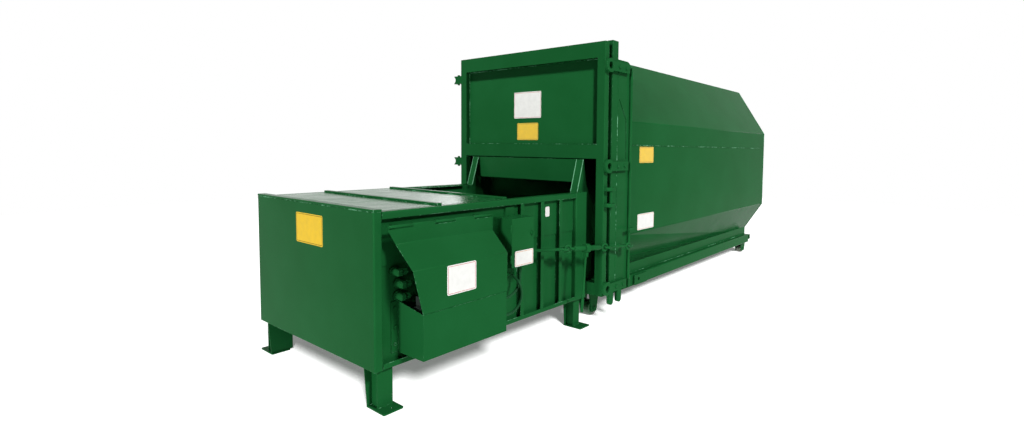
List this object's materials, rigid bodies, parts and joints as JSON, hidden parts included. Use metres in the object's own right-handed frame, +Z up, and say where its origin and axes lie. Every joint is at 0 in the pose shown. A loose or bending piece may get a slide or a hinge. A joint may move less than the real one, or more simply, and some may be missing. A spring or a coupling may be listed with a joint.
{
  "type": "waste compactor",
  "caption": "Stationary waste compactor with a hydraulic ram, side power unit and charge chamber, coupled by ratchet binders to an octagonal receiver container on ground rollers.",
  "frame": {"origin": "on the floor, in the middle of the compactor's four anchor holes", "axes": "+X from the compactor's rear towards the container's far end, -Y the side with the power unit, +Z up"},
  "size_m": [6.858, 2.2474, 2.675],
  "materials": {
    "green_paint": "gloss enamel",
    "machine_paint": "satin enamel",
    "bare_steel": "machined",
    "black_rubber": "matt"
  },
  "bodies": {
    "machine": {"base_rails": "green_paint", "binder_barrels": "bare_steel", "binder_eye_rods": "bare_steel", "binder_lugs": "green_paint", "bottom_sills": "green_paint", "container_collar": "green_paint", "container_cross_members": "green_paint", "container_end_wall": "green_paint", "container_floor": "green_paint", "container_roof": "green_paint", "control_box": "green_paint", "control_conduit": "black_rubber", "cover_bars": "green_paint", "cylinder_anchor_beam": "green_paint", "cylinder_anchor_pin": "bare_steel", "cylinder_barrel": "machine_paint", "door_frame": "green_paint", "door_hinges": "green_paint", "door_latch_rod": "green_paint", "door_panel": "green_paint", "door_seal": "black_rubber", "door_straps": "green_paint", "electric_motor": "machine_paint", "far_side_shell": "green_paint", "far_side_wall": "green_paint", "floor_cross_members": "green_paint", "floor_plate": "green_paint", "front_posts": "green_paint", "hood_hinge": "green_paint", "housing_bolts": "bare_steel", "hydraulic_fittings": "bare_steel", "hydraulic_hose": "black_rubber", "hydraulic_pump": "machine_paint", "hydraulic_reservoir": "machine_paint", "legs": "green_paint", "power_side_shell": "green_paint", "power_side_wall": "green_paint", "power_unit_housing": "green_paint", "rear_panel": "green_paint", "roller_brackets": "green_paint", "side_ribs": "green_paint", "throat_cheeks": "green_paint", "throat_panel": "green_paint", "top_covers": "green_paint", "top_rails": "green_paint", "valve_manifold": "machine_paint"},
    "ram": {"ram_platen": "green_paint", "ram_shoes": "green_paint", "ram_pin": "bare_steel", "cylinder_plunger": "bare_steel"},
    "stage": {"cylinder_stage": "bare_steel"},
    "hood": {"hood_lid": "green_paint"},
    "box_door": {"control_box_door": "green_paint"},
    "latch": {"control_box_latch": "bare_steel"},
    "power_side_handle": {"power_side_binder_handle": "green_paint"},
    "far_side_handle": {"far_side_binder_handle": "green_paint"},
    "front_power_roller": {"front_power_side_roller": "green_paint"},
    "front_far_roller": {"front_far_side_roller": "green_paint"},
    "rear_power_roller": {"rear_power_side_roller": "green_paint"},
    "rear_far_roller": {"rear_far_side_roller": "green_paint"}
  },
  "joints": [
    {"name": "ram_slide", "type": "slide", "parent": "machine", "child": "ram", "axis": [1, 0, 0], "range_m": [0, 1.09]},
    {"name": "stage_slide", "type": "slide", "parent": "machine", "child": "stage", "axis": [1, 0, 0], "range_m": [0, 0.545]},
    {"name": "hood_lift", "type": "hinge", "parent": "machine", "child": "hood", "pos_m": [-0.6225, -0.873, 1.172], "axis": [-1, 0, 0], "range_deg": [0, 95]},
    {"name": "box_door_swing", "type": "hinge", "parent": "machine", "child": "box_door", "pos_m": [-0.09, -0.973, 0.949], "axis": [0, 0, -1], "range_deg": [0, 110]},
    {"name": "latch_turn", "type": "hinge", "parent": "box_door", "child": "latch", "pos_m": [0.138, -0.975, 1.01], "axis": [0, -1, 0], "range_deg": [0, 90]},
    {"name": "power_side_handle_swing", "type": "hinge", "parent": "machine", "child": "power_side_handle", "pos_m": [0.84299, -0.98855, 0.78667], "axis": [-0.9794, 0.185, 0.0815], "range_deg": [0, 120]},
    {"name": "far_side_handle_swing", "type": "hinge", "parent": "machine", "child": "far_side_handle", "pos_m": [0.84299, 0.98855, 0.78667], "axis": [0.9794, 0.185, -0.0815], "range_deg": [0, 120]},
    {"name": "front_power_roller_spin", "type": "hinge", "parent": "machine", "child": "front_power_roller", "pos_m": [1.352, -0.65, 0.075], "axis": [0, 1, 0], "continuous": true},
    {"name": "front_far_roller_spin", "type": "hinge", "parent": "machine", "child": "front_far_roller", "pos_m": [1.352, 0.65, 0.075], "axis": [0, 1, 0], "continuous": true},
    {"name": "rear_power_roller_spin", "type": "hinge", "parent": "machine", "child": "rear_power_roller", "pos_m": [5.625, -0.647, 0.06], "axis": [0, 1, 0], "continuous": true},
    {"name": "rear_far_roller_spin", "type": "hinge", "parent": "machine", "child": "rear_far_roller", "pos_m": [5.625, 0.647, 0.06], "axis": [0, 1, 0], "continuous": true}
  ],
  "couplings": [
    {"joint": "stage_slide", "follows": "ram_slide", "ratio": 0.5}
  ]
}
